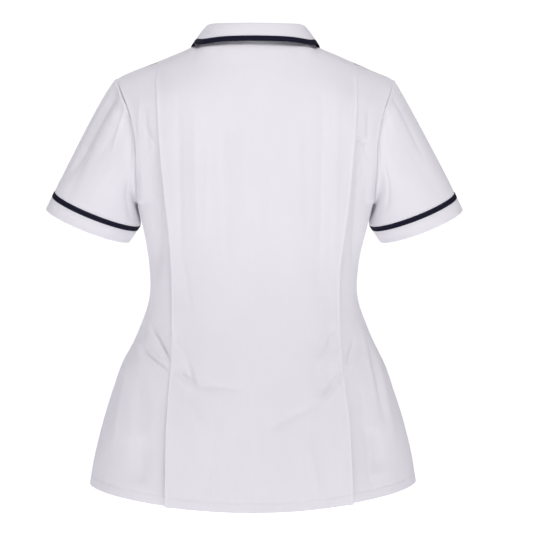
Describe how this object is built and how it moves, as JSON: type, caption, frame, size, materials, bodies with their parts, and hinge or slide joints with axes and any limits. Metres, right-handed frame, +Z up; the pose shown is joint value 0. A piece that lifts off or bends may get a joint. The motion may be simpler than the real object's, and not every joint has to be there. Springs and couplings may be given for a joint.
{
  "type": "work tunic",
  "caption": "Short-sleeved work tunic with back pleats, a buttoned front, a turned-down collar with a contrast edge and contrast sleeve bands, open in the shape it is worn in.",
  "frame": {"origin": "where the wearer's shoulders hold the tunic: on the centre line, level with the side of the neck, above the shoulder seams", "axes": "+Z up along the body, the front faces -Y, the wearer's left is +X"},
  "size_m": [0.669, 0.2652, 0.7488],
  "materials": {
    "white_cloth": "matt white poly-cotton",
    "navy_cloth": "matt navy poly-cotton",
    "button_plastic": "satin white"
  },
  "bodies": {
    "root": {"back_centre": "white_cloth", "back_side_left": "white_cloth", "back_side_right": "white_cloth", "front_left": "white_cloth", "front_right": "white_cloth", "sleeve_left": "white_cloth", "sleeve_right": "white_cloth", "sleeve_band_left": "navy_cloth", "sleeve_band_right": "navy_cloth", "sleeve_hem_left": "white_cloth", "sleeve_hem_right": "white_cloth", "collar": "white_cloth", "collar_trim": "navy_cloth", "button_1": "button_plastic", "button_2": "button_plastic", "button_3": "button_plastic", "button_4": "button_plastic", "button_5": "button_plastic", "button_6": "button_plastic"}
  },
  "joints": []
}
